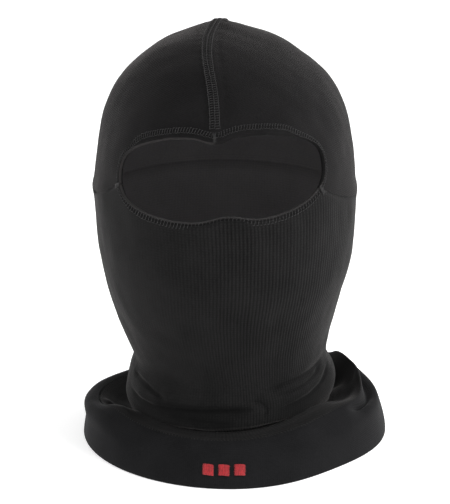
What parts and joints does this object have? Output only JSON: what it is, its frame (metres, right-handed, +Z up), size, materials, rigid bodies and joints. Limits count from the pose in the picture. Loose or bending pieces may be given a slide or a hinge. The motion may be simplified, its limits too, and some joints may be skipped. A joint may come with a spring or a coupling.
{
  "type": "balaclava",
  "caption": "Close-fitting knitted face hood with a goggle-shaped eye opening, a ribbed face and neck tube and a doubled hem band it stands on.",
  "frame": {"origin": "on the floor, at the bottom centre of the object's bounding box, inside the hem ring", "axes": "+Z up through the crown, -Y the way the face looks, +X to the viewer's right when the face is seen from the front"},
  "size_m": [0.1911, 0.1967, 0.26],
  "materials": {
    "jersey": "matt charcoal-black plain jersey knit with a short fuzzy nap",
    "rib_knit": "matt charcoal-black fine rib knit",
    "hem_jersey": "smooth blue-black double jersey",
    "seam_thread": "dark grey textured sewing thread",
    "accent_yarn": "red satin stitch yarn"
  },
  "bodies": {
    "root": {"hood_left_panel": "jersey", "hood_right_panel": "jersey", "face_and_neck_tube": "rib_knit", "hem_band": "hem_jersey", "brow_hem_facing": "jersey", "cheek_hem_facing": "rib_knit", "brow_cover_stitch": "seam_thread", "cheek_cover_stitch": "seam_thread", "brow_bartack": "seam_thread", "eye_corner_bartack_left": "seam_thread", "eye_corner_bartack_right": "seam_thread", "crown_cover_thread": "seam_thread", "crown_needle_thread_left": "seam_thread", "crown_needle_thread_centre": "seam_thread", "crown_needle_thread_right": "seam_thread", "joining_seam_allowance": "jersey", "joining_seam_thread": "seam_thread", "hem_cover_stitch": "seam_thread", "accent_square_left": "accent_yarn", "accent_square_centre": "accent_yarn", "accent_square_right": "accent_yarn"}
  },
  "joints": []
}
